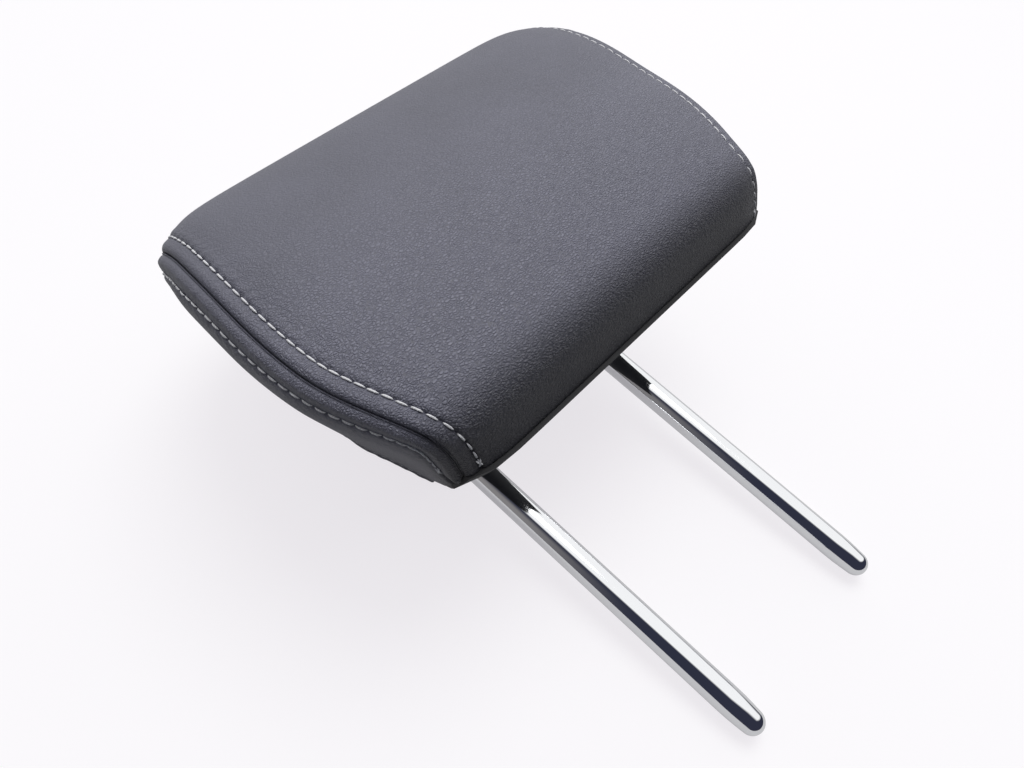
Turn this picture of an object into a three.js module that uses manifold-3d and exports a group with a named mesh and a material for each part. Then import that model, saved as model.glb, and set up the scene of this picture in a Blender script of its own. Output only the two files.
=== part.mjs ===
// Car headrest: a leather covered foam cushion on a bent steel rod whose two legs are the posts.
// +Z is up, the face looks towards -Y. The origin lies midway between the post axes, level with
// the lower front edge of the leather. Sizes are in millimetres.

import * as THREE from 'three';
import { mergeVertices } from 'three/addons/utils/BufferGeometryUtils.js';
import Module from 'manifold-3d';

const wasm = await Module();
wasm.setup();

// Posts and the crossbar that joins them inside the cushion
const postDiameter = 14;
const postSpacing = 104;
const postReach = 154;
const postTaperLength = 20;
const postTipDiameter = 12.4;
const crossbarHeight = 118;
const crossbarBend = 26;
const notchDepth = 2;
const notchWidth = 5;
const notchPitch = 22;
const notchCount = 4;
const lowestNotch = 42;

// Outline of the cushion
const cushionHeight = 197;
const faceReach = 126;
const backReach = 31;
const greatestHalfWidth = 124;
const lowerHalfWidth = 106.5;
const backHalfWidth = 83;
const coverShift = 8.5;
const panelCrown = 6;
const seamRoll = 5;
const topRoll = 8.5;
const topSkew = 2.4;
const cornerRise = 5.5;
const sideBulge = 13;
const sideShoulder = 22;
const undersideRise = 36;

// Cover, foam and running gaps
const leatherThickness = 1.6;
const seamGap = 0.3;
const fitGap = 0.3;
const stripThickness = 1.2;
const stripRows = 2;

// Closing panel under the cushion
const panelThickness = 2.2;
const panelInset = 1;
const panelDrop = 0.8;
const upstandHeight = 12;
const upstandWall = 2;
const collarDiameter = 19;
const collarHeight = 8;
const clipWidth = 14;
const clipThickness = 2.4;
const clipBarb = 1.6;
const clipHead = 5;
const clipOffset = 29;
const openingMargin = 0.5;

// Two-part plastic core that grips the crossbar
const coreBesidePost = 10.5;
const coreBottom = 52;
const coreTop = 144;
const coreFrontDepth = 32;
const coreToBack = 15;
const coreWall = 2.6;
const coreCorner = 12;
const saddleWall = 3.2;
const ribThickness = 2.2;
const ribCount = 5;
const bossDiameter = 10;
const bossInset = 11;
const lowerBossX = 30;

// Screws that close the core
const screwDiameter = 4;
const screwLength = 26;
const screwHeadDiameter = 8;
const screwHeadHeight = 3;
const screwPointLength = 2;
const screwPointDiameter = 2;
const screwHeadTop = 5.6;
const screwRecess = 4.4;

const postRadius = postDiameter / 2;
const postX = postSpacing / 2;
const coreHalfWidth = postX + coreBesidePost;
const coreBackDepth = backReach - coreToBack;
const openingBack = collarDiameter / 2 + openingMargin;

const materials = {
  chrome: new THREE.MeshStandardMaterial({ color: 0xd9dde0, roughness: 0.08, metalness: 1 }),
  leather: new THREE.MeshStandardMaterial({ color: 0x2b2c31, roughness: 0.5, metalness: 0 }),
  blackPlastic: new THREE.MeshStandardMaterial({ color: 0x121214, roughness: 0.45, metalness: 0 }),
  foam: new THREE.MeshStandardMaterial({ color: 0x8f8c80, roughness: 0.95, metalness: 0 }),
  corePlastic: new THREE.MeshStandardMaterial({ color: 0x3a3c3e, roughness: 0.6, metalness: 0 }),
  steel: new THREE.MeshStandardMaterial({ color: 0x9a9da0, roughness: 0.35, metalness: 1 }),
};

// Solids from geometry and back

function toSolid(geometry) {
  const bare = geometry.clone();
  bare.deleteAttribute('normal');
  bare.deleteAttribute('uv');
  const merged = mergeVertices(bare, 1e-4);
  return new wasm.Manifold(new wasm.Mesh({
    numProp: 3,
    vertProperties: new Float32Array(merged.attributes.position.array),
    triVerts: new Uint32Array(merged.index.array),
  }));
}

function toGeometry(solid) {
  const mesh = solid.getMesh();
  const geometry = new THREE.BufferGeometry();
  geometry.setAttribute('position', new THREE.BufferAttribute(new Float32Array(mesh.vertProperties), 3));
  geometry.setIndex(new THREE.BufferAttribute(new Uint32Array(mesh.triVerts), 1));
  return geometry;
}

function box(x0, x1, y0, y1, z0, z1) {
  const geometry = new THREE.BoxGeometry(x1 - x0, y1 - y0, z1 - z0);
  geometry.translate((x0 + x1) / 2, (y0 + y1) / 2, (z0 + z1) / 2);
  return toSolid(geometry);
}

function cylinderZ(x, y, z0, z1, diameter, sides = 24) {
  const geometry = new THREE.CylinderGeometry(diameter / 2, diameter / 2, z1 - z0, sides);
  geometry.rotateX(Math.PI / 2);
  geometry.translate(x, y, (z0 + z1) / 2);
  return toSolid(geometry);
}

function cylinderY(x, z, y0, y1, diameter, sides = 16) {
  const geometry = new THREE.CylinderGeometry(diameter / 2, diameter / 2, y1 - y0, sides);
  geometry.translate(x, (y0 + y1) / 2, z);
  return toSolid(geometry);
}

// A closed surface from points and faces, each face a list of point keys in order round it

class Surface {
  constructor() {
    this.positions = [];
    this.faces = [];
  }

  point(vector) {
    this.positions.push(vector.x, vector.y, vector.z);
    return this.positions.length / 3 - 1;
  }

  quad(a, b, c, d) {
    this.faces.push(a, b, c, a, c, d);
  }

  // Rows of equal length become quads; flip turns the faces round
  grid(rows, flip = false) {
    const keys = rows.map((row) => row.map((vector) => this.point(vector)));
    for (let i = 0; i + 1 < keys.length; i += 1) {
      for (let j = 0; j + 1 < keys[i].length; j += 1) {
        const [a, b, c, d] = [keys[i][j], keys[i][j + 1], keys[i + 1][j + 1], keys[i + 1][j]];
        if (flip) this.quad(a, d, c, b);
        else this.quad(a, b, c, d);
      }
    }
  }

  solid() {
    const geometry = new THREE.BufferGeometry();
    geometry.setAttribute('position', new THREE.Float32BufferAttribute(this.positions, 3));
    geometry.setIndex(this.faces);
    const merged = mergeVertices(geometry, 1e-3);
    const corners = Array.from(merged.index.array);
    const kept = [];
    while (corners.length > 0) {
      const [a, b, c] = corners.splice(-3);
      if (a !== b && b !== c && c !== a) kept.push(a, b, c);
    }
    merged.setIndex(kept);
    return toSolid(merged);
  }
}

// A sheet between an outer and an inner grid, closed round its four edges
function sheet(outer, inner) {
  const surface = new Surface();
  surface.grid(outer);
  surface.grid(inner, true);
  surface.grid([inner[0], outer[0]]);
  surface.grid([outer[outer.length - 1], inner[inner.length - 1]]);
  surface.grid([outer.map((row) => row[0]), inner.map((row) => row[0])]);
  surface.grid([inner.map((row) => row[row.length - 1]), outer.map((row) => row[row.length - 1])]);
  return surface.solid();
}

// The cushion is lofted along its side outline, from the lower front edge up the face, over the
// top and down the back. Each station gives the place on the centre line, the half width at the
// side seam, and how far the panel falls to that seam: the crown falls gently over the whole
// width and the roll falls over the last stretch before the seam. The cover sits a little to one
// side, most at the top, which is the shift. Its top edge rises a little towards the same side,
// which is the skew.

function widened(share) {
  return lowerHalfWidth + share * (greatestHalfWidth - lowerHalfWidth);
}

function station(y, z, half, crown, roll, shift) {
  return { y, z, half, crown: crown * panelCrown, roll, shift: shift * coverShift };
}

const stations = [
  station(-0.754 * faceReach, 0, widened(-0.05), 0, cornerRise, 0.8),
  station(-0.937 * faceReach, 0.046 * cushionHeight, lowerHalfWidth, 0.3, seamRoll, 0.2),
  station(-faceReach, 0.142 * cushionHeight, widened(0.24), 0.5, seamRoll, -0.12),
  station(-0.992 * faceReach, 0.305 * cushionHeight, widened(0.86), 0.8, seamRoll, -0.02),
  station(-0.964 * faceReach, 0.48 * cushionHeight, greatestHalfWidth, 1, seamRoll, 0.17),
  station(-0.913 * faceReach, 0.65 * cushionHeight, greatestHalfWidth, 0.7, seamRoll, 0.45),
  station(-0.802 * faceReach, 0.8 * cushionHeight, 0.995 * greatestHalfWidth, 0.3, 0.8 * topRoll, 0.93),
  station(-0.651 * faceReach, 0.907 * cushionHeight, 0.965 * greatestHalfWidth, 0, topRoll, 1),
  station(-0.413 * faceReach, 0.985 * cushionHeight, 0.88 * greatestHalfWidth, 0.3, topRoll, 0.7),
  station(-0.198 * faceReach, cushionHeight, 1.145 * backHalfWidth, 0.6, seamRoll, 0.55),
  station(0.29 * backReach, 0.94 * cushionHeight, 1.072 * backHalfWidth, 0.8, seamRoll, 0.4),
  station(0.87 * backReach, 0.8 * cushionHeight, 1.048 * backHalfWidth, 1, seamRoll, 0.25),
  station(backReach, 0.61 * cushionHeight, backHalfWidth, 1, seamRoll, 0.12),
  station(0.97 * backReach, 0.41 * cushionHeight, 0.95 * backHalfWidth, 0.8, seamRoll, 0),
  station(0.87 * backReach, undersideRise + 0.122 * cushionHeight, 0.885 * backHalfWidth, 0.5, seamRoll, 0),
  station(0.61 * backReach, undersideRise, 0.82 * backHalfWidth, 0, cornerRise, 0),
];
const skewStart = 0.4;
const crownPower = 2.5;
const rollPower = 16;
const acrossPower = 0.6;
const sidePower = 1.25;
const faceSpanCount = 9;
const bulgeRows = 8;
const topBulgeRows = 7;
const faceRows = 18;
const rearSeamRows = 8;
const rowCount = 2 * faceRows;
const acrossSteps = 12;
const sideSteps = 10;

const outline = new THREE.CatmullRomCurve3(
  stations.map((station) => new THREE.Vector3(station.half, station.y, station.z)),
  false,
  'catmullrom',
  0.5,
);

function along(row) {
  const last = stations.length - 1;
  if (row <= faceRows) return (row / faceRows) * (faceSpanCount / last);
  const share = (row - faceRows) / faceRows;
  return (faceSpanCount + share * (last - faceSpanCount)) / last;
}

function stationValue(row, key) {
  const place = along(row) * (stations.length - 1);
  const index = Math.min(Math.floor(place), stations.length - 2);
  const share = place - index;
  return stations[index][key] * (1 - share) + stations[index + 1][key] * share;
}

// A point of the wrapped surface: across runs from -1 to 1 between the side seams
function wrapPoint(row, across, inset, extraFall = 0) {
  const centre = outline.getPoint(along(row));
  const direction = outline.getTangent(along(row));
  const length = Math.hypot(direction.y, direction.z);
  const normal = { y: -direction.z / length, z: direction.y / length };
  const fall = stationValue(row, 'crown') * Math.abs(across) ** crownPower
    + stationValue(row, 'roll') * Math.abs(across) ** rollPower;
  const depth = inset + fall + extraFall;
  const upper = Math.max(centre.z / cushionHeight - skewStart, 0) / (1 - skewStart);
  return new THREE.Vector3(
    stationValue(row, 'shift') + across * (centre.x - inset),
    centre.y - normal.y * depth,
    centre.z - normal.z * depth + upper * topSkew * across,
  );
}

function shoulder(distance) {
  const share = Math.min(distance / sideShoulder, 1);
  return 1 - (1 - share) ** 2;
}

// A point of a side: share runs from the front seam, 0, to the back seam, 1
function sidePoint(row, share, side, inset, gap = 0) {
  const front = wrapPoint(row, side, inset, gap);
  const back = wrapPoint(rowCount - row, side, inset, gap);
  const point = front.clone().lerp(back, share);
  const fullness = Math.min(0.5 + (0.5 * row) / bulgeRows, (faceRows - row) / topBulgeRows, 1);
  point.x += side * fullness * sideBulge * shoulder(share * front.distanceTo(back)) * (1 - share);
  return point;
}

function undersidePoint(across, share, inset) {
  const front = wrapPoint(0, across, inset);
  const back = wrapPoint(rowCount, across, inset);
  const corner = sidePoint(0, share, 1, inset);
  const flat = wrapPoint(0, 1, inset).lerp(wrapPoint(rowCount, 1, inset), share);
  const point = front.lerp(back, share);
  point.x += across * (corner.x - flat.x);
  return point;
}

const acrossValues = Array.from({ length: acrossSteps + 1 }, (_, k) => {
  const even = (2 * k) / acrossSteps - 1;
  return Math.sign(even) * Math.abs(even) ** acrossPower;
});
const sideShares = Array.from({ length: sideSteps + 1 }, (_, k) => (k / sideSteps) ** sidePower);

function rowRange(first, last) {
  return Array.from({ length: last - first + 1 }, (_, k) => first + k);
}

function wrapGrid(first, last, inset, trim = 0) {
  return rowRange(first, last).map((row) => acrossValues.map((across) => {
    const point = wrapPoint(row, across, inset);
    point.x -= across * trim;
    return point;
  }));
}

function sideGrid(side, inset, gap = 0) {
  return rowRange(0, faceRows).map((row) => (
    sideShares.map((share) => sidePoint(row, share, side, inset, gap))));
}

function undersideGrid(inset, drop = 0) {
  return sideShares.map((share) => acrossValues.map((across) => {
    const point = undersidePoint(across, share, inset);
    point.z -= drop;
    return point;
  }));
}

// The whole cushion form, set in from the leather's outer face by an inset that may change by row
function cushionForm(insetAt) {
  const wrap = rowRange(0, rowCount).map((row) => (
    acrossValues.map((across) => wrapPoint(row, across, insetAt(row)))));
  const sideEdge = (row, side) => wrap[row][side === 1 ? acrossSteps : 0];
  const sideRow = (row, side) => sideShares.map((share) => {
    if (share === 0) return sideEdge(row, side);
    if (share === 1 || row === faceRows) return sideEdge(rowCount - row, side);
    return sidePoint(row, share, side, insetAt(row) * (1 - share) + insetAt(rowCount - row) * share);
  });
  const surface = new Surface();
  surface.grid(wrap);
  for (const side of [1, -1]) {
    surface.grid(rowRange(0, faceRows).map((row) => sideRow(row, side)), side === -1);
  }
  const left = sideRow(0, -1);
  const right = sideRow(0, 1);
  surface.grid(sideShares.map((share, m) => acrossValues.map((across, k) => {
    if (m === 0) return wrap[0][k];
    if (m === sideSteps) return wrap[rowCount][k];
    if (k === 0) return left[m];
    if (k === acrossSteps) return right[m];
    return undersidePoint(across, share, insetAt(0));
  })), true);
  return surface.solid();
}

// The rod follows one path: up one leg, round two bends and the crossbar, down the other leg

function rodPath() {
  const path = new THREE.CurvePath();
  const at = (x, z) => new THREE.Vector3(x, 0, z);
  const bendTop = crossbarHeight;
  const bendStart = crossbarHeight - crossbarBend;
  const inner = postX - crossbarBend;
  path.add(new THREE.LineCurve3(at(-postX, -postReach + postTaperLength), at(-postX, bendStart)));
  path.add(bend(-inner, bendStart, Math.PI, Math.PI / 2));
  path.add(new THREE.LineCurve3(at(-inner, bendTop), at(inner, bendTop)));
  path.add(bend(inner, bendStart, Math.PI / 2, 0));
  path.add(new THREE.LineCurve3(at(postX, bendStart), at(postX, -postReach + postTaperLength)));
  return path;
}

function bend(centreX, centreZ, from, to) {
  const arc = new THREE.Curve();
  arc.getPoint = (share) => {
    const angle = from + (to - from) * share;
    return new THREE.Vector3(
      centreX + crossbarBend * Math.cos(angle),
      0,
      centreZ + crossbarBend * Math.sin(angle),
    );
  };
  return arc;
}

// Rings of the given radius along the rod, with the tips drawn in to a dome
function rodForm(growth, sides, withTips) {
  const bendSteps = 7;
  const centres = [];
  rodPath().curves.forEach((curve, index) => {
    const steps = index % 2 === 1 ? bendSteps : 1;
    for (let k = index === 0 ? 0 : 1; k <= steps; k += 1) {
      const tangent = index % 2 === 1
        ? curve.getPoint(Math.min(k / steps + 1e-4, 1)).sub(curve.getPoint(Math.max(k / steps - 1e-4, 0)))
        : curve.getPoint(1).sub(curve.getPoint(0));
      const place = curve.getPoint(k / steps);
      centres.push({ place, tangent: tangent.normalize(), radius: postRadius + growth });
    }
  });
  if (withTips) {
    const tip = tipRings();
    const down = new THREE.Vector3(0, 0, -1);
    const up = new THREE.Vector3(0, 0, 1);
    const start = tip.slice().reverse().map(({ z, radius }) => (
      { place: new THREE.Vector3(-postX, 0, z), tangent: up, radius: radius + growth }));
    const end = tip.map(({ z, radius }) => (
      { place: new THREE.Vector3(postX, 0, z), tangent: down, radius: radius + growth }));
    centres.unshift(...start);
    centres.push(...end);
  }
  const across = new THREE.Vector3(0, 1, 0);
  const rings = centres.map(({ place, tangent, radius }) => {
    const side = new THREE.Vector3().crossVectors(across, tangent);
    return Array.from({ length: sides + 1 }, (_, k) => {
      const angle = (2 * Math.PI * (k % sides)) / sides;
      return place.clone()
        .addScaledVector(side, radius * Math.cos(angle))
        .addScaledVector(across, radius * Math.sin(angle));
    });
  });
  const capRing = (ring) => {
    const middle = ring.slice(0, sides).reduce((sum, p) => sum.add(p), new THREE.Vector3());
    return ring.map(() => middle.clone().divideScalar(sides));
  };
  const surface = new Surface();
  surface.grid([capRing(rings[0]), ...rings, capRing(rings[rings.length - 1])]);
  return surface.solid();
}

// The post draws in slightly over its last stretch and ends in a dome
function tipRings() {
  const tipRadius = postTipDiameter / 2;
  const domeStart = -postReach + tipRadius;
  const rings = [{ z: domeStart, radius: tipRadius }];
  for (const angle of [25, 50, 70, 83]) {
    const turn = (angle * Math.PI) / 180;
    rings.push({ z: domeStart - tipRadius * Math.sin(turn), radius: tipRadius * Math.cos(turn) });
  }
  return rings;
}

// Rounded height notches face backwards on one post
function postFrame() {
  let frame = rodForm(0, 24, true);
  for (let k = 0; k < notchCount; k += 1) {
    const z = -lowestNotch - k * notchPitch;
    const floor = postRadius - notchDepth;
    const [low, high] = [z - notchWidth / 2, z + notchWidth / 2];
    frame = frame.subtract(box(-postX - postRadius, -postX + postRadius, floor, postDiameter, low, high));
  }
  return frame;
}

// Core halves: open trays with rounded corners, saddles round the rod, ribs and screw bosses

function roundedTray(y0, y1, shrink) {
  const shape = new THREE.Shape();
  const halfWidth = coreHalfWidth - shrink;
  const bottom = coreBottom + shrink;
  const top = coreTop - shrink;
  const corner = coreCorner - shrink;
  shape.moveTo(-halfWidth + corner, bottom);
  shape.lineTo(halfWidth - corner, bottom);
  shape.absarc(halfWidth - corner, bottom + corner, corner, -Math.PI / 2, 0);
  shape.lineTo(halfWidth, top - corner);
  shape.absarc(halfWidth - corner, top - corner, corner, 0, Math.PI / 2);
  shape.lineTo(-halfWidth + corner, top);
  shape.absarc(-halfWidth + corner, top - corner, corner, Math.PI / 2, Math.PI);
  shape.lineTo(-halfWidth, bottom + corner);
  shape.absarc(-halfWidth + corner, bottom + corner, corner, Math.PI, 1.5 * Math.PI);
  const options = { depth: y1 - y0, bevelEnabled: false, curveSegments: 4 };
  const geometry = new THREE.ExtrudeGeometry(shape, options);
  geometry.rotateX(Math.PI / 2);
  geometry.translate(0, y1, 0);
  return toSolid(geometry);
}

const bossPlaces = [-1, 1].flatMap((side) => [
  { x: side * lowerBossX, z: coreBottom + bossInset },
  { x: side * (coreHalfWidth - bossInset), z: coreTop - bossInset },
]);
const splitGap = fitGap / 2;
const headSeat = coreBackDepth - screwHeadHeight - fitGap;

function coreHalf(outerY, splitY) {
  const [y0, y1] = outerY < splitY ? [outerY, splitY] : [splitY, outerY];
  const inward = Math.sign(splitY - outerY);
  const floorY = outerY + inward * coreWall;
  const [p0, p1] = outerY < splitY ? [floorY, splitY + 1] : [splitY - 1, floorY];
  const block = roundedTray(y0, y1, 0);
  let half = block.subtract(roundedTray(p0, p1, coreWall));
  const ribSpan = 2 * (coreHalfWidth - coreWall);
  for (let k = 1; k <= ribCount; k += 1) {
    const x = -ribSpan / 2 + (ribSpan * k) / (ribCount + 1);
    half = half.add(box(x - ribThickness / 2, x + ribThickness / 2, y0, y1, coreBottom + 1, coreTop - 1));
  }
  half = half.add(rodForm(saddleWall, 16, false).intersect(block));
  for (const { x, z } of bossPlaces) half = half.add(cylinderY(x, z, y0, y1, bossDiameter));
  return half.subtract(rodForm(fitGap, 24, false));
}

// Slots in the floor of the front shell for the panel's clips, with room above for their barbs
function clipSlots(solid) {
  const y = -coreFrontDepth / 2;
  const front = y - clipThickness / 2 - fitGap;
  const back = y + clipThickness / 2 + fitGap;
  const reach = clipWidth / 2 + fitGap;
  const floor = coreBottom + coreWall;
  const roof = floor + clipHead + 2 * fitGap;
  let result = solid;
  for (const x of [-clipOffset, clipOffset]) {
    result = result.subtract(box(x - reach, x + reach, front, back, coreBottom - 1, floor + 1));
    result = result.subtract(box(x - reach, x + reach, front, back + clipBarb, floor, roof));
  }
  return result;
}

function coreFrontShell() {
  let shell = coreHalf(-coreFrontDepth, -splitGap);
  for (const { x, z } of bossPlaces) {
    shell = shell.subtract(cylinderY(x, z, headSeat - screwLength - 1, 0, screwDiameter + 2 * fitGap));
  }
  return clipSlots(shell);
}

function coreRearShell() {
  let shell = coreHalf(coreBackDepth, splitGap);
  for (const { x, z } of bossPlaces) {
    shell = shell.subtract(cylinderY(x, z, 0, coreBackDepth + 1, screwDiameter + 2 * fitGap));
    shell = shell.subtract(cylinderY(x, z, headSeat, coreBackDepth + 1, screwHeadDiameter + 2 * fitGap));
  }
  return shell;
}

function coreScrew({ x, z }) {
  const head = headSeat + fitGap;
  const point = head - screwLength;
  const profile = [
    [0, point],
    [screwPointDiameter, point],
    [screwDiameter, point + screwPointLength],
    [screwDiameter, head],
    [screwHeadDiameter, head],
    [screwHeadDiameter, head + 0.55 * screwHeadHeight],
    [screwHeadTop, headSeat + screwHeadHeight],
    [screwRecess, headSeat + screwHeadHeight],
    [0, headSeat + 0.5 * screwHeadHeight],
  ].map(([diameter, y]) => new THREE.Vector2(diameter / 2, y));
  const geometry = new THREE.LatheGeometry(profile, 14);
  geometry.translate(x, 0, z);
  return toSolid(geometry);
}

// Foam bun moulded round a pocket that takes the core and is open below

function pocket(clearance) {
  const reach = coreHalfWidth + clearance;
  const front = -coreFrontDepth - clearance;
  const back = coreBackDepth + clearance;
  const hold = box(-reach, reach, front, back, coreBottom - clearance, coreTop + clearance);
  return hold.add(box(-reach, reach, front, openingBack, -postReach, coreBottom + 1));
}

function foamBun() {
  const plain = leatherThickness + fitGap;
  const rebated = plain + stripThickness + fitGap;
  const insetAt = (row) => (row < stripRows + 1 || row > rowCount - stripRows - 1 ? rebated : plain);
  return cushionForm(insetAt).subtract(pocket(fitGap));
}

// Leather panels meet at the side seams and across the upper back

const backSeamRow = faceRows + rearSeamRows;

function frontPanel() {
  return sheet(
    wrapGrid(0, backSeamRow, 0, seamGap / 2),
    wrapGrid(0, backSeamRow, leatherThickness, seamGap / 2),
  );
}

function rearPanel() {
  const nudge = (grid) => grid.map((row, k) => (k > 0 ? row : row.map((point, j) => {
    const next = grid[1][j];
    return point.clone().addScaledVector(next.clone().sub(point).normalize(), seamGap);
  })));
  return sheet(
    nudge(wrapGrid(backSeamRow, rowCount, 0, seamGap / 2)),
    nudge(wrapGrid(backSeamRow, rowCount, leatherThickness, seamGap / 2)),
  );
}

function sidePanel(side) {
  const outer = sideGrid(side, 0, seamGap);
  const inner = sideGrid(side, leatherThickness, seamGap);
  return side === 1 ? sheet(outer, inner) : sheet(inner, outer);
}

// Plastic strips sewn to the lower edges of the leather, which hold it under the closing panel
function retainerStrip(first, last) {
  const outer = leatherThickness + fitGap;
  const keep = acrossValues.filter((across) => Math.abs(across) < 0.95);
  const grid = (inset) => rowRange(first, last).map((row) => (
    keep.map((across) => wrapPoint(row, across, inset))));
  return sheet(grid(outer), grid(outer + stripThickness));
}

// Closing panel: a rim under the leather's edge, an upstand in the foam's pocket, a collar round
// each post and two sprung clips that catch in the core

function undersideHeight(y) {
  const front = wrapPoint(0, 0, 0);
  const back = wrapPoint(rowCount, 0, 0);
  return front.z + ((back.z - front.z) * (y - front.y)) / (back.y - front.y);
}

function bottomCover() {
  const layer = (drop) => undersideGrid(panelInset, drop);
  const plate = sheet(layer(panelDrop), layer(panelDrop + panelThickness));
  const above = sheet(layer(-coreTop), layer(panelDrop + panelThickness / 2));
  const reach = coreHalfWidth - fitGap;
  const front = -coreFrontDepth + fitGap;
  const back = openingBack - fitGap;
  const top = undersideHeight(back) + upstandHeight;
  const shaft = (inset, low, high) => (
    box(-reach + inset, reach - inset, front + inset, back - inset, low, high));
  let raised = shaft(0, -postReach, top).subtract(shaft(upstandWall, -postReach - 1, top + 1));
  const clipFront = -(coreFrontDepth + clipThickness) / 2;
  const clipBack = clipFront + clipThickness;
  const barbBase = coreBottom + coreWall + fitGap;
  const clipTop = barbBase + clipHead;
  for (const side of [-1, 1]) {
    const left = side * clipOffset - clipWidth / 2;
    const right = left + clipWidth;
    raised = raised
      .add(cylinderZ(side * postX, 0, -postReach, undersideHeight(0) + collarHeight, collarDiameter))
      .add(box(left, right, clipFront, clipBack, -postReach, clipTop))
      .add(box(left, right, clipFront, clipBack + clipBarb, barbBase, clipTop));
  }
  let cover = plate.add(raised.intersect(above));
  for (const side of [-1, 1]) {
    cover = cover.subtract(cylinderZ(side * postX, 0, -postReach, coreTop, postDiameter + 2 * fitGap, 32));
  }
  return cover;
}

const model = new THREE.Group();

function place(name, solid, material) {
  const mesh = new THREE.Mesh(toGeometry(solid), material);
  mesh.name = name;
  model.add(mesh);
}

place('post_frame', postFrame(), materials.chrome);
place('core_front_shell', coreFrontShell(), materials.corePlastic);
place('core_rear_shell', coreRearShell(), materials.corePlastic);
bossPlaces.forEach((spot, k) => place(`core_screw_${k + 1}`, coreScrew(spot), materials.steel));
place('foam_bun', foamBun(), materials.foam);
place('cover_front_panel', frontPanel(), materials.leather);
place('cover_rear_panel', rearPanel(), materials.leather);
place('cover_left_side', sidePanel(-1), materials.leather);
place('cover_right_side', sidePanel(1), materials.leather);
place('retainer_strip_front', retainerStrip(0, stripRows), materials.blackPlastic);
place('retainer_strip_rear', retainerStrip(rowCount - stripRows, rowCount), materials.blackPlastic);
place('bottom_cover', bottomCover(), materials.blackPlastic);

export default model;
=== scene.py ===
import math

import bpy
import numpy as np
from mathutils import Matrix, Vector
from mathutils.kdtree import KDTree


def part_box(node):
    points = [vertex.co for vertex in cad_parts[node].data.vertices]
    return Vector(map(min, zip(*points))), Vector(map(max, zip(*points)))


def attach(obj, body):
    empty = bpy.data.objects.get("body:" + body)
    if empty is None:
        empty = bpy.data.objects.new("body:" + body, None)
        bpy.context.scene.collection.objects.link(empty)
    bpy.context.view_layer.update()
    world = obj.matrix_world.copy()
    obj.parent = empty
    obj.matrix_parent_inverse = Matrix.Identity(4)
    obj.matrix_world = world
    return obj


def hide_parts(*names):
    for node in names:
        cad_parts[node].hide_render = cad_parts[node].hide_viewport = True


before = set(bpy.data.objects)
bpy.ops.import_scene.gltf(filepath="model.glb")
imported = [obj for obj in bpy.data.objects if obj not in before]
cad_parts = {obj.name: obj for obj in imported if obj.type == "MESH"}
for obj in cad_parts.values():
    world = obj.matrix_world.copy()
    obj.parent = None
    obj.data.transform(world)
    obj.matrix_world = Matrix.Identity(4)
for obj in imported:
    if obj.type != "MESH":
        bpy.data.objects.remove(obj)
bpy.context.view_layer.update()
bpy.ops.object.select_all(action="DESELECT")
bpy.context.scene.view_settings.view_transform = "Standard"


# Post frame: one bar of 14 mm steel, bent twice so that its two legs are the posts and the part
# between them is the crossbar inside the cushion. It is polished and chrome plated, its ends are
# domed, and one leg has rounded notches at the back for the height catch.

post_low, post_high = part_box("post_frame")
post_radius = 0.007
post_x = post_high.x - post_radius
bend_radius = 0.026
bar_z = post_high.z - post_radius
bend_z = bar_z - bend_radius
taper_length = 0.020
tip_radius = 0.0062
post_sides = 64
first_ring = 0.0001
bend_steps = 12
taper_rings = 3
dome_rings = 10
weld_reach = 2e-5
post_edge_angle = math.radians(35)
notch_sides = 48
notch_depth = 0.002
notch_width = 0.005
notch_pitch = 0.022
notch_count = 4
lowest_notch = -0.042


def select(obj, mode="EDIT"):
    """Makes obj the one that the operators act on."""
    bpy.ops.object.select_all(action="DESELECT")
    bpy.context.view_layer.objects.active = obj
    obj.select_set(True)
    if mode == "EDIT":
        bpy.ops.object.mode_set(mode="EDIT")


def pick_edges(obj, test):
    """In edit mode, selects the edges whose centre passes the test."""
    bpy.ops.mesh.select_all(action="DESELECT")
    bpy.ops.object.mode_set(mode="OBJECT")
    points = [v.co for v in obj.data.vertices]
    for edge in obj.data.edges:
        edge.select = test((points[edge.vertices[0]] + points[edge.vertices[1]]) / 2)
    bpy.ops.object.mode_set(mode="EDIT")
    bpy.ops.mesh.select_mode(type="EDGE")


def settle(obj):
    """Leaves edit mode and puts the piece's place into its mesh."""
    if bpy.context.object and bpy.context.object.mode == "EDIT":
        bpy.ops.object.mode_set(mode="OBJECT")
    select(obj, mode="OBJECT")
    bpy.ops.object.transform_apply(location=True, rotation=True, scale=True)


def apply_all(obj):
    """Applies the piece's modifiers in order."""
    select(obj, mode="OBJECT")
    for modifier in list(obj.modifiers):
        bpy.ops.object.modifier_apply(modifier=modifier.name)


def extrude(x=0.0, z=0.0):
    """Extrudes what is selected by x and z, in metres."""
    bpy.ops.mesh.extrude_region_move(TRANSFORM_OT_translate={"value": (x, 0, z)})


bpy.ops.mesh.primitive_circle_add(vertices=post_sides, radius=post_radius, location=(-post_x, 0, bend_z))
posts = bpy.context.object
posts.name = "chrome_posts"
settle(posts)
select(posts)
bpy.ops.mesh.select_all(action="SELECT")
extrude(z=first_ring)
pick_edges(posts, lambda p: p.z > bend_z + first_ring / 2)
bend = {"steps": bend_steps, "angle": math.pi / 2, "axis": (0, 1, 0)}
bpy.ops.mesh.spin(center=(-post_x + bend_radius, 0, bend_z), **bend)
pick_edges(posts, lambda p: p.x > -post_x + bend_radius - 2 * first_ring)
extrude(x=2 * (post_x - bend_radius))
bpy.ops.mesh.spin(center=(post_x - bend_radius, 0, bend_z), **bend)


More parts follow.
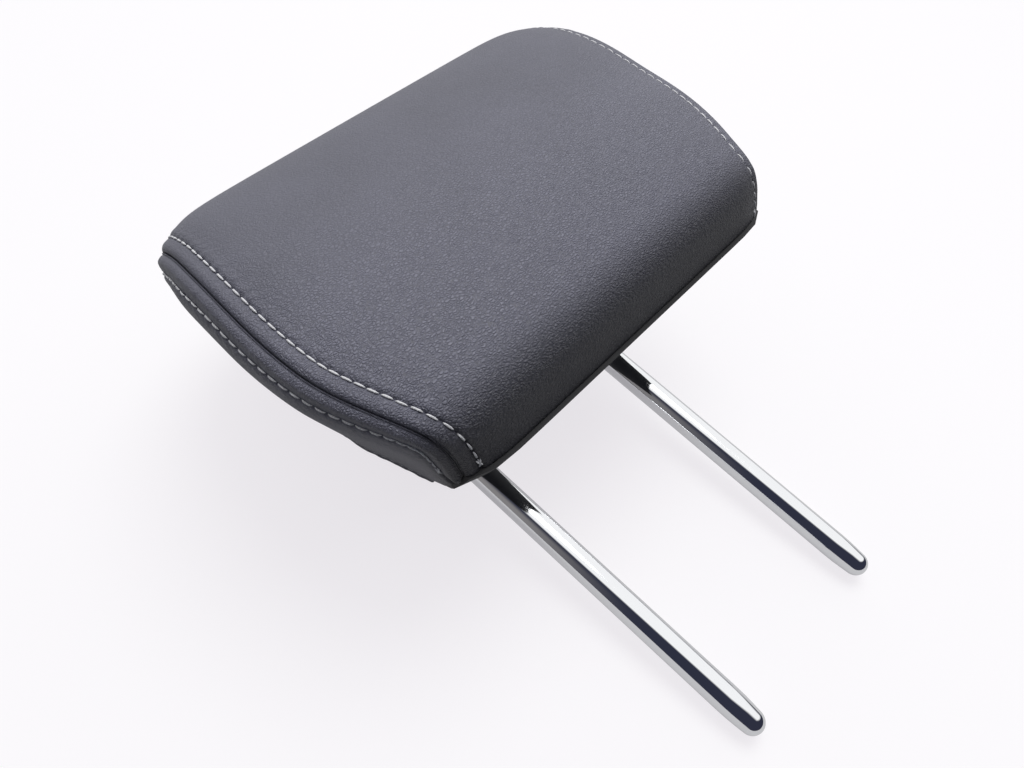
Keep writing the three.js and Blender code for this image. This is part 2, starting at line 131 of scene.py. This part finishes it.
def finish_leg(side):
    """Runs one leg down from the bend, draws it in and closes it with a dome."""
    taper_start = post_low.z + taper_length
    dome_start = post_low.z + tip_radius
    pick_edges(
        posts,
        lambda p: abs(p.z - bend_z) < weld_reach and p.x * side > post_x - 1.5 * post_radius,
    )
    rings = [(taper_start, post_radius)]
    for ring in range(1, taper_rings + 1):
        share = ring / taper_rings
        radius = post_radius + (tip_radius - post_radius) * (1 - math.cos(share * math.pi / 2))
        rings.append((taper_start + (dome_start - taper_start) * share, radius))
    for ring in range(1, dome_rings + 1):
        angle = ring / (dome_rings + 1) * math.pi / 2
        rings.append((dome_start - tip_radius * math.sin(angle), tip_radius * math.cos(angle)))
    last_z, last_radius = bend_z, post_radius
    for z, radius in rings:
        extrude(z=z - last_z)
        share = radius / last_radius
        bpy.ops.transform.resize(value=(share, share, 1), center_override=(side * post_x, 0, z))
        last_z, last_radius = z, radius
    bpy.ops.mesh.edge_face_add()


finish_leg(-1)
finish_leg(1)
bpy.ops.mesh.select_all(action="SELECT")
bpy.ops.mesh.remove_doubles(threshold=weld_reach)
bpy.ops.mesh.normals_make_consistent(inside=False)
settle(posts)

notch_y = post_radius + notch_width / 2 - notch_depth
for number in range(notch_count):
    bpy.ops.mesh.primitive_cylinder_add(
        vertices=notch_sides,
        radius=notch_width / 2,
        depth=4 * post_radius,
        location=(-post_x, notch_y, lowest_notch - number * notch_pitch),
        rotation=(0, math.pi / 2, 0),
    )
    cutter = bpy.context.object
    notch = posts.modifiers.new("notch", "BOOLEAN")
    notch.operation = "DIFFERENCE"
    notch.object = cutter
    apply_all(posts)
    bpy.data.objects.remove(cutter)
select(posts, mode="OBJECT")
bpy.ops.object.shade_smooth_by_angle(angle=post_edge_angle)


class Value:
    """A shader value that takes part in plain arithmetic."""

    def __init__(self, finish, socket):
        self.finish = finish
        self.socket = socket

    def maths(self, operation, first, second):
        return self.finish.node("ShaderNodeMath", {"operation": operation}, {0: first, 1: second})

    def __add__(self, other):
        return self.maths("ADD", self, other)

    def __radd__(self, other):
        return self.maths("ADD", other, self)

    def __sub__(self, other):
        return self.maths("SUBTRACT", self, other)

    def __rsub__(self, other):
        return self.maths("SUBTRACT", other, self)

    def __mul__(self, other):
        return self.maths("MULTIPLY", self, other)

    def __rmul__(self, other):
        return self.maths("MULTIPLY", other, self)


class Finish:
    """A material, or the world, made of nodes."""

    def __init__(self, name, owner=None):
        self.material = owner or bpy.data.materials.new(name)
        self.material.use_nodes = True
        self.nodes = self.material.node_tree.nodes
        self.links = self.material.node_tree.links
        self.nodes.clear()

    def node(self, kind, settings=None, inputs=None, output=0):
        """Adds a node of a type, with its settings and what its sockets hold."""
        made = self.nodes.new(kind)
        for key, value in (settings or {}).items():
            setattr(made, key, value)
        for key, value in (inputs or {}).items():
            if isinstance(value, Value):
                self.links.new(value.socket, made.inputs[key])
            elif value is not None:
                made.inputs[key].default_value = value
        return Value(self, made.outputs[output]) if len(made.outputs) else None

    def place(self):
        return self.node("ShaderNodeTexCoord", output="Object")

    def noise(self, scale, detail, roughness=0.5):
        inputs = {"Vector": self.place(), "Scale": scale, "Detail": detail, "Roughness": roughness}
        return self.node("ShaderNodeTexNoise", {"noise_dimensions": "3D"}, inputs, "Fac")

    def between(self, value, low, high):
        """0 at low, 1 at high, and smooth in between."""
        settings = {"interpolation_type": "SMOOTHSTEP"}
        return self.node("ShaderNodeMapRange", settings, {"Value": value, "From Min": low, "From Max": high})

    def mix(self, share, first, second):
        colour = [(*c, 1) if isinstance(c, tuple) else c for c in (first, second)]
        return self.node("ShaderNodeMix", {"data_type": "RGBA"}, {0: share, 6: colour[0], 7: colour[1]}, 2)

    def bump(self, height, distance, strength, normal=None):
        inputs = {"Height": height, "Distance": distance, "Strength": strength, "Normal": normal}
        return self.node("ShaderNodeBump", {}, inputs)

    def surface(self, inputs):
        shader = self.node("ShaderNodeBsdfPrincipled", {}, inputs)
        self.node("ShaderNodeOutputMaterial", {}, {"Surface": shader})
        return self.material


chrome_colour = (0.88, 0.89, 0.91)
haze_scale = 45
ripple_scale = 240
ripple_depth = 0.00002
chrome = Finish("polished_chrome")
faint_haze = chrome.between(chrome.noise(haze_scale, 4), 0.35, 0.75)
chrome_material = chrome.surface({
    "Base Color": (*chrome_colour, 1),
    "Metallic": 1.0,
    "Roughness": 0.045 + faint_haze * 0.05,
    "Normal": chrome.bump(chrome.noise(ripple_scale, 2), ripple_depth, 0.25),
})
posts.data.materials.clear()
posts.data.materials.append(chrome_material)
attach(posts, "root")
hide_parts("post_frame")


# Core: two moulded plastic shells that close round the crossbar and are held by four screws.
# They are hidden in the foam. The plastic is plain black with a faint moulded texture.

plastic_edge_angle = math.radians(30)
worn_scale = 60
worn_lightness = 1.25


def moulded_plastic(name, colour, grain_scale, grain_depth, roughness):
    """Plastic with a fine moulded grain, a little lighter where it is worn."""
    plastic = Finish(name)
    texture = plastic.noise(grain_scale, 3, 0.6)
    worn = plastic.between(plastic.noise(worn_scale, 3), 0.3, 0.8)
    return plastic.surface({
        "Base Color": plastic.mix(worn, colour, tuple(worn_lightness * c for c in colour)),
        "Roughness": roughness + texture * 0.12,
        "Normal": plastic.bump(texture, grain_depth, 0.5),
    })


def dress(node, material):
    """Gives a CAD node its material and even shading."""
    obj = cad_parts[node]
    obj.data.materials.clear()
    obj.data.materials.append(material)
    select(obj, mode="OBJECT")
    bpy.ops.object.shade_smooth_by_angle(angle=plastic_edge_angle)


core_plastic = moulded_plastic("core_plastic", (0.045, 0.047, 0.05), 900, 0.0001, 0.5)
for shell in ("core_front_shell", "core_rear_shell"):
    dress(shell, core_plastic)

zinc_spot_scale = 700
zinc = Finish("zinc_plated_steel")
zinc_spots = zinc.noise(zinc_spot_scale, 3)
zinc_material = zinc.surface({
    "Base Color": zinc.mix(zinc_spots, (0.5, 0.5, 0.52), (0.62, 0.62, 0.6)),
    "Metallic": 1.0,
    "Roughness": 0.28 + zinc_spots * 0.15,
})
for number in range(1, 5):
    dress(f"core_screw_{number}", zinc_material)


# Foam bun: soft polyurethane moulded in one piece, with a pocket for the core. Its skin is
# slightly open and its edges are round.

foam_grid = 0.004
foam_smoothing = 4
cell_scale = 1400
cell_depth = 0.0004
merge_reach = 1e-6


def copy_node(node, name):
    """A merged copy of a CAD node's mesh, for a piece that will stand for it."""
    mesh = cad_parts[node].data.copy()
    obj = bpy.data.objects.new(name, mesh)
    bpy.context.scene.collection.objects.link(obj)
    select(obj)
    bpy.ops.mesh.select_all(action="SELECT")
    bpy.ops.mesh.remove_doubles(threshold=merge_reach)
    bpy.ops.object.mode_set(mode="OBJECT")
    return obj


foam = copy_node("foam_bun", "foam_cushion")
remesh = foam.modifiers.new("skin", "REMESH")
remesh.mode = "VOXEL"
remesh.voxel_size = foam_grid
smooth = foam.modifiers.new("round", "SMOOTH")
smooth.factor = 0.5
smooth.iterations = foam_smoothing
apply_all(foam)
bpy.ops.object.shade_smooth()
foam_finish = Finish("moulded_foam")
cells = foam_finish.noise(cell_scale, 4, 0.7)
foam_material = foam_finish.surface({
    "Base Color": foam_finish.mix(cells, (0.40, 0.38, 0.31), (0.52, 0.50, 0.43)),
    "Roughness": 0.95,
    "Normal": foam_finish.bump(cells, cell_depth, 0.6),
})
foam.data.materials.clear()
foam.data.materials.append(foam_material)
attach(foam, "root")
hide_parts("foam_bun")


# Leather cover: four panels cut from charcoal hide with a pebbled grain. The side panels meet the
# others in a seam, and the hide beside each seam is folded back and sewn down with a row of pale
# stitches 8 mm from it, so it stands up as a soft roll between the seam and the stitches.

flat_offset = 0.0077
side_offset = 0.0088
flat_puff = 0.7
side_puff = 1.2
stitch_pitch = 0.0055
panel_levels = 3
hide_thickness = 0.0016
cut_edge_angle = math.radians(42)
seam_gap = 0.0007
seam_step = 0.0005
span_steps = 20
wide_band = 0.024
fine_band = 0.0125
outward_least = 0.05
facing_start = 0.02
facing_span = 0.2
cushion_low, cushion_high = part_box("foam_bun")
cushion_centre = (cushion_low + cushion_high) / 2


def loft_smooth(obj):
    """Turns a copied panel into an evenly smooth one, with its cut edges kept."""
    select(obj)
    bpy.ops.mesh.select_mode(type="EDGE")
    bpy.ops.mesh.select_all(action="DESELECT")
    bpy.ops.mesh.edges_select_sharp(sharpness=cut_edge_angle)
    bpy.ops.transform.edge_crease(value=1.0)
    bpy.ops.mesh.select_all(action="SELECT")
    bpy.ops.mesh.tris_convert_to_quads(face_threshold=math.radians(35), shape_threshold=math.radians(80))
    bpy.ops.object.mode_set(mode="OBJECT")
    subdivide = obj.modifiers.new("loft", "SUBSURF")
    subdivide.levels = panel_levels
    subdivide.render_levels = panel_levels
    apply_all(obj)


def points_of(obj):
    flat = np.zeros(3 * len(obj.data.vertices), np.float32)
    obj.data.vertices.foreach_get("co", flat)
    return flat.reshape(-1, 3).astype(float)


def normals_of(obj):
    flat = np.zeros(3 * len(obj.data.vertices), np.float32)
    obj.data.vertices.foreach_get("normal", flat)
    return flat.reshape(-1, 3).astype(float)


def tree_of(points):
    tree = KDTree(len(points))
    for k, p in enumerate(points):
        tree.insert(p, k)
    tree.balance()
    return tree


def seam_line(side_points, other_points):
    """Even points along a side seam, from the lower front over the top to the lower back."""
    centre = np.array(cushion_centre)
    others = tree_of(other_points)
    seam = np.array([p for p in side_points if others.find(p)[2] < seam_gap])
    reach = np.linalg.norm(seam - centre, axis=1)
    outer = []
    for k, p in enumerate(seam):
        close = np.linalg.norm(seam - p, axis=1) < 2 * hide_thickness
        if not np.any(close & (reach > reach[k] + 0.3 * hide_thickness)):
            outer.append(k)
    seam = seam[outer]
    turn = np.arctan2(seam[:, 1] - centre[1], seam[:, 2] - centre[2])
    knots = seam[np.argsort(turn)]
    knots = np.vstack([2 * knots[0] - knots[1], knots, 2 * knots[-1] - knots[-2]])
    curve = []
    for k in range(len(knots) - 3):
        a, b, c, d = knots[k : k + 4]
        for step in range(span_steps):
            t = step / span_steps
            shares = (1 - t) ** 3 * a + (3 * t**3 - 6 * t**2 + 4) * b
            shares += (1 + 3 * t + 3 * t**2 - 3 * t**3) * c + t**3 * d
            curve.append(shares / 6)
    curve = np.array(curve)
    along = np.concatenate([[0], np.cumsum(np.linalg.norm(np.diff(curve, axis=0), axis=1))])
    even = np.arange(0, along[-1], seam_step)
    return np.column_stack([np.interp(even, along, curve[:, k]) for k in range(3)]), even


def measure(points, line, along):
    """For each point, its distance from the seam and how far along the seam it lies."""
    tree = tree_of(line)
    found = [tree.find(p) for p in points]
    return np.array([f[2] for f in found]), along[[f[1] for f in found]]


def refine_near(obj, lines, band):
    """Gives the mesh more faces in a band beside the seams."""
    place = points_of(obj)
    near = np.full(len(place), 1.0)
    for line, along in lines:
        near = np.minimum(near, measure(place, line, along)[0])
    select(obj)
    bpy.ops.mesh.select_mode(type="FACE")
    bpy.ops.mesh.select_all(action="DESELECT")
    bpy.ops.object.mode_set(mode="OBJECT")
    for face in obj.data.polygons:
        outward = Vector(face.normal).dot((face.center - cushion_centre).normalized()) > outward_least
        face.select = outward and min(near[v] for v in face.vertices) < band
    bpy.ops.object.mode_set(mode="EDIT")
    bpy.ops.mesh.subdivide(number_cuts=1, smoothness=0.0)
    bpy.ops.object.mode_set(mode="OBJECT")


def bell(value, centre, width):
    return np.exp(-(((value - centre) / width) ** 2))


def ripple(along, seed, length):
    """An even random wave along a seam, the same on each run."""
    random = np.random.default_rng(seed)
    total = np.zeros_like(along)
    for k in range(7):
        wave = length * (0.6 + 0.9 * random.random())
        total += np.sin(2 * math.pi * (along / wave + random.random()))
    return total / 7


def roll_profile(distance, along, puff, offset, seed):
    """Height of the hide beside a seam, in metres: the fold, the roll and the line of stitches."""
    # Every height and width below is in millimetres
    d = distance * 1000
    stitch = offset * 1000
    holes = 0.5 + 0.5 * np.cos(2 * math.pi * along / stitch_pitch)
    fold = -1.5 * bell(d, 0, 1.1)
    roll = puff * bell(d, 0.45 * stitch, 2.2) * (1 + 0.2 * ripple(along, seed, 0.012))
    valley = -0.35 * bell(d, stitch, 0.9) - 0.55 * holes * bell(d, stitch, 0.8)
    beyond = 0.3 * bell(d, stitch + 2.6, 2.0) * (1 + 0.6 * ripple(along, seed + 1, 0.006))
    pucker = 0.2 * ripple(along, seed + 2, 0.004) * bell(d, stitch - 1.5, 2.6)
    gathers = 0.15 * ripple(along + 0.7 * distance, seed + 3, 0.006) * bell(d, stitch + 4, 4.0)
    return (fold + roll + valley + beyond + pucker + gathers) / 1000


def sew(obj, lines, puff, offset):
    """Shapes the hide beside the seams by moving the outer face of the panel."""
    place = points_of(obj)
    normal = normals_of(obj)
    outward = place - np.array(cushion_centre)
    outward /= np.linalg.norm(outward, axis=1)[:, None]
    facing = np.einsum("ij,ij->i", normal, outward)
    facing = np.clip((facing - facing_start) / facing_span, 0, 1)
    move = np.zeros(len(place))
    for number, (line, along) in enumerate(lines):
        distance, reach = measure(place, line, along)
        move += roll_profile(distance, reach, puff, offset, 11 * number + 5)
    place += normal * (move * facing)[:, None]
    obj.data.vertices.foreach_set("co", place.astype(np.float32).ravel())
    obj.data.update()


pebble_scale = 900
pebble_stretch = (0.6, 1.0, 1.15)
pebble_depth = 0.0004
drift_scale = 600
drift_reach = 0.0015
pore_scale = 2600
dent_scale = 30
dent_depth = 0.0008
# Between these heights the dark grain lines grow stronger towards the bottom of the face. This is partly the
# hide's grain and partly painted shade in its creases.
stretch_and_shade_top, stretch_and_shade_bottom = 0.14, 0.04
# Between these heights, shade is painted into the hide where it turns under the cushion.
roll_shade_top, roll_shade_bottom = 0.029, 0.005
leather = Finish("charcoal_leather")
spot = leather.place()
height = leather.node("ShaderNodeSeparateXYZ", {}, {"Vector": spot}, "Z")
drift = leather.node("ShaderNodeTexNoise", {}, {"Vector": spot, "Scale": drift_scale, "Detail": 2}, "Color")
drift = leather.node("ShaderNodeVectorMath", {"operation": "SCALE"}, {0: drift, "Scale": drift_reach})
spot = leather.node("ShaderNodeVectorMath", {"operation": "ADD"}, {0: spot, 1: drift})
spot = leather.node("ShaderNodeVectorMath", {"operation": "MULTIPLY"}, {0: spot, 1: pebble_stretch})
cell = {"Vector": spot, "Scale": pebble_scale}
edge = leather.node("ShaderNodeTexVoronoi", {"feature": "DISTANCE_TO_EDGE"}, cell)
pebble = leather.between(edge, 0.0, 0.34)
crease = leather.between(edge, 0.0, 0.10)
pores = leather.noise(pore_scale, 3)
dents = leather.noise(dent_scale, 3)
# Low on the face the grain lines are painted darker. This is partly the hide's own grain and partly painted
# shade in its creases.
# Where the hide turns under the cushion, shade is painted into its colour.
stretch_and_crease_shade = leather.between(height, stretch_and_shade_top, stretch_and_shade_bottom)
painted_roll_shade = leather.between(height, roll_shade_top, roll_shade_bottom)
grain = pebble * (0.45 + stretch_and_crease_shade * 0.55) + pores * 0.1
shade = crease * (0.2 + stretch_and_crease_shade * 0.7) + dents * 0.3 + 0.3 - stretch_and_crease_shade * 0.15
# The crease colour is the dark of the grain lines. It is partly the hide's own colour and partly painted
# shade.
crease_and_painted_shade_colour = (0.030, 0.031, 0.041)
hide_colour = (0.154, 0.155, 0.200)
# Painted shade: the dark of the hide where it turns under the cushion, away from the light.
painted_roll_shade_colour = (0.016, 0.016, 0.022)
hide_tone_with_crease_shade = leather.mix(shade, crease_and_painted_shade_colour, hide_colour)
leather_material = leather.surface({
    "Base Color": leather.mix(painted_roll_shade * 0.92, hide_tone_with_crease_shade, painted_roll_shade_colour),
    "Roughness": 0.52 - crease * 0.05 + dents * 0.06,
    "Specular IOR Level": 0.5,
    "Normal": leather.bump(grain, pebble_depth, 0.85, leather.bump(dents, dent_depth, 0.3)),
})

panel_names = {
    "cover_left_side": "leather_left_side",
    "cover_right_side": "leather_right_side",
    "cover_front_panel": "leather_face",
    "cover_rear_panel": "leather_back",
}
panels = {node: copy_node(node, name) for node, name in panel_names.items()}
flat_panels = np.vstack([points_of(panels["cover_front_panel"]), points_of(panels["cover_rear_panel"])])
left_seam, right_seam = [
    seam_line(points_of(panels[node]), flat_panels) for node in ("cover_left_side", "cover_right_side")
]
for panel in panels.values():
    loft_smooth(panel)
for node, near_seams, puff, offset in (
    ("cover_left_side", [left_seam], side_puff, side_offset),
    ("cover_right_side", [right_seam], side_puff, side_offset),
    ("cover_front_panel", [left_seam, right_seam], flat_puff, flat_offset),
    ("cover_rear_panel", [left_seam, right_seam], flat_puff, flat_offset),
):
    panel = panels[node]
    refine_near(panel, near_seams, wide_band)
    refine_near(panel, near_seams, fine_band)
    sew(panel, near_seams, puff, offset)
    select(panel, mode="OBJECT")
    bpy.ops.object.shade_smooth()
    panel.data.materials.clear()
    panel.data.materials.append(leather_material)
    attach(panel, "root")
    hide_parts(node)


# Stitches: pale grey thread in two rows at each side seam, one on either side of it. The rows on the
# side panels are painted paler, as painted light on stitches that lie in shade. Each stitch lies in
# the valley that it pulls, its ends dive into the holes, and the lowest of a row is sewn over twice.

stitch_length = 0.0048
thread_radius = 0.00034
stitch_dive = 0.0005
ply_scale = 900
ply_depth = 0.0001
face_grey = 0.80
# The side thread is paler than the face thread. This is painted light on the side rows, which lie in shade.
painted_light_side_grey = 0.95
reach_along = 0.0014
reach_across = 0.0009
row_end = 0.0012
# The turn of each lay of thread, and its height in thread radii
stitch_lays = ((0.0, 1.2),)
lowest_stitch_lays = ((0.0, 1.2), (0.4, 1.8), (-0.4, 2.2))


def twisted_thread(name, grey):
    """Matt thread whose twist shows as fine diagonal bands."""
    thread = Finish(name)
    place = thread.place()
    bands = {"Vector": place, "Scale": ply_scale}
    ply = thread.node("ShaderNodeTexWave", {"bands_direction": "DIAGONAL"}, bands)
    ply = thread.between(ply, 0.1, 0.9)
    return thread.surface({
        "Base Color": thread.mix(ply, (0.7 * grey, 0.7 * grey, 0.73 * grey), (grey, grey, 1.03 * grey)),
        "Roughness": 0.7,
        "Normal": thread.bump(ply, ply_depth, 0.4),
    })


face_thread = twisted_thread("face_thread", face_grey)
# Thread for the side rows, painted paler as painted light.
painted_light_side_thread = twisted_thread("painted_light_side_thread", painted_light_side_grey)

bpy.ops.mesh.primitive_uv_sphere_add(segments=8, ring_count=7, radius=1)
stitch_form = bpy.context.object
stitch_form.name = "stitch_form"
form = points_of(stitch_form)
form_faces = [tuple(p.vertices) for p in stitch_form.data.polygons]
bpy.data.objects.remove(stitch_form)
# A stitch lies along x: long, nearly round, and bent down at both ends
lengthwise = np.sign(form[:, 2]) * np.abs(form[:, 2]) ** 0.6 * stitch_length / 2
ends = (np.abs(lengthwise) / (stitch_length / 2)) ** 3
girth = thread_radius * np.column_stack([form[:, 0], form[:, 1]]) * (1 + 0.25 * (1 - ends))[:, None]
stitch_points = np.column_stack([lengthwise, girth[:, 0] * 1.1, girth[:, 1] * 0.85 - stitch_dive * ends])


def stitch_row(panel, line, along, offset, thread, name):
    """Lays the row of stitches on one panel beside one seam."""
    place = points_of(panel)
    distance, reach = measure(place, line, along)
    found = []
    for number in range(int(along[-1] / stitch_pitch)):
        middle = (number + 0.5) * stitch_pitch
        close = (np.abs(reach - middle) < reach_along) & (np.abs(distance - offset) < reach_across)
        if close.sum() < 3:
            continue
        target = place[close].mean(axis=0)
        hit, spot_on, normal, _ = panel.closest_point_on_mesh(Vector(target))
        if hit and normal.dot(spot_on - cushion_centre) > 0:
            found.append((spot_on, normal))
    lowest = min(at.z for at, _ in found)
    points, faces = [], []
    for number, (at, normal) in enumerate(found):
        ahead = found[min(number + 1, len(found) - 1)][0]
        behind = found[max(number - 1, 0)][0]
        tangent = (ahead - behind).normalized()
        across = normal.cross(tangent).normalized()
        normal = tangent.cross(across).normalized()
        turn = Matrix((tangent, across, normal)).transposed()
        for angle, lift in lowest_stitch_lays if at.z < lowest + row_end else stitch_lays:
            base = len(points)
            skew = Matrix.Rotation(angle, 3, "Z")
            rise = Vector((0, 0, thread_radius * lift))
            points += [at + turn @ (skew @ Vector(p) + rise) for p in stitch_points]
            faces += [tuple(base + v for v in face) for face in form_faces]
    mesh = bpy.data.meshes.new(name)
    mesh.from_pydata(points, [], faces)
    row = bpy.data.objects.new(name, mesh)
    bpy.context.scene.collection.objects.link(row)
    row.data.materials.append(thread)
    select(row, mode="OBJECT")
    bpy.ops.object.shade_smooth()
    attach(row, "root")


for word, seam in (("left", left_seam), ("right", right_seam)):
    for node, part, offset, thread in (
        (f"cover_{word}_side", "side", side_offset, painted_light_side_thread),
        ("cover_front_panel", "face", flat_offset, face_thread),
        ("cover_rear_panel", "back", flat_offset, face_thread),
    ):
        stitch_row(panels[node], *seam, offset, thread, f"stitches_{word}_{part}")


# Retainer strips and closing panel: black plastic below the cushion. The strips hold the lower
# edges of the hide, and the panel clips into the core and shows as a thin dark rim.

strip_plastic = moulded_plastic("strip_plastic", (0.02, 0.02, 0.022), 1200, 0.00008, 0.45)
for strip in ("retainer_strip_front", "retainer_strip_rear"):
    dress(strip, strip_plastic)
panel_plastic = moulded_plastic("panel_plastic", (0.009, 0.009, 0.011), 1600, 0.00012, 0.66)
dress("bottom_cover", panel_plastic)


# Setting: the headrest lies on its back on a pale floor, which touches the back of the cushion and
# the ends of the posts. One soft light is in front of its face, and the chrome mirrors a dim room
# with a bright window.

floor_lean = math.radians(5.2)
floor_up = Vector((0, -math.cos(floor_lean), math.sin(floor_lean)))
floor_point = Vector((0, cushion_high.y + 0.004, 0.115))
floor_size = 6.0
floor_glow = 0.80
mirrored_glow = 0.5
floor_white = (0.95, 0.92, 0.96)
floor_matt = (0.22, 0.23, 0.22)
bpy.ops.mesh.primitive_plane_add(size=floor_size)
floor = bpy.context.object
floor.name = "floor"
floor.rotation_mode = "QUATERNION"
floor.rotation_quaternion = floor_up.to_track_quat("Z", "X")
floor.location = floor_point
paint = Finish("pale_floor")
rays = paint.node("ShaderNodeLightPath", output="Is Camera Ray")
mirror_rays = paint.node("ShaderNodeLightPath", output="Is Glossy Ray")
seen = rays + mirror_rays * mirrored_glow
glow = paint.node("ShaderNodeEmission", {}, {"Color": (*floor_white, 1), "Strength": seen * floor_glow})
matt = paint.node("ShaderNodeBsdfDiffuse", {}, {"Color": (*floor_matt, 1)})
lit = paint.node("ShaderNodeAddShader", {}, {0: glow, 1: matt})
clear = paint.node("ShaderNodeBsdfTransparent")
behind = paint.node("ShaderNodeNewGeometry", output="Backfacing")
shown = paint.node("ShaderNodeMixShader", {}, {0: behind, 1: lit, 2: clear})
paint.node("ShaderNodeOutputMaterial", {}, {"Surface": shown})
floor.data.materials.append(paint.material)

window_way = Vector((0.50, -0.62, 0.60)).normalized()
window_rim = (0.36, 0.50)
wall_rim = (0.38, -0.1)
wall_foot = (-0.1, 0.15)
window_colour = (1.0, 1.0, 1.0)
wall_colour = (0.24, 0.23, 0.23)
dark_colour = (0.03, 0.033, 0.055)
backdrop_colour = (0.95, 0.95, 0.96)
world = bpy.data.worlds.new("studio")
bpy.context.scene.world = world
studio = Finish("studio", world)
way = studio.node("ShaderNodeTexCoord", output="Generated")
towards = studio.node("ShaderNodeVectorMath", {"operation": "DOT_PRODUCT"}, {0: way, 1: window_way}, "Value")
window = studio.between(towards, *window_rim)
upward = studio.node("ShaderNodeSeparateXYZ", {}, {"Vector": way}, "Z")
wall = studio.between(towards, *wall_rim) * studio.between(upward, *wall_foot)
room = studio.mix(wall, dark_colour, wall_colour)
room = studio.mix(window, room, window_colour)
seen_straight = studio.node("ShaderNodeLightPath", output="Is Camera Ray")
room = studio.mix(seen_straight, room, backdrop_colour)
backdrop = studio.node("ShaderNodeBackground", {}, {"Color": room, "Strength": 1.0})
studio.node("ShaderNodeOutputWorld", {}, {"Surface": backdrop})

light_way = Vector((0.26, -0.90, 0.20)).normalized()
light_distance = 1.7
light_data = bpy.data.lights.new("soft_light", "AREA")
light_data.shape = "DISK"
light_data.size = 1.1
light_data.energy = 16
light = bpy.data.objects.new("soft_light", light_data)
bpy.context.scene.collection.objects.link(light)
light.rotation_mode = "QUATERNION"
light.rotation_quaternion = light_way.to_track_quat("Z", "Y")
light.location = cushion_centre + light_way * light_distance

camera_data = bpy.data.cameras.new("camera")
camera_data.sensor_width = 36
camera_data.lens = 27.99
camera = bpy.data.objects.new("camera", camera_data)
bpy.context.scene.collection.objects.link(camera)
camera_right = Vector((0.6577, -0.1796, -0.7316))
camera_forward = Vector((0.4828, 0.8460, 0.2263))
camera_up = camera_right.cross(camera_forward).normalized()
camera.rotation_mode = "QUATERNION"
camera_turn = Matrix((camera_right, camera_up, -camera_forward)).transposed()
camera.rotation_quaternion = camera_turn.to_quaternion()
camera.location = (-0.2086, -0.3612, -0.0521)
bpy.context.scene.camera = camera
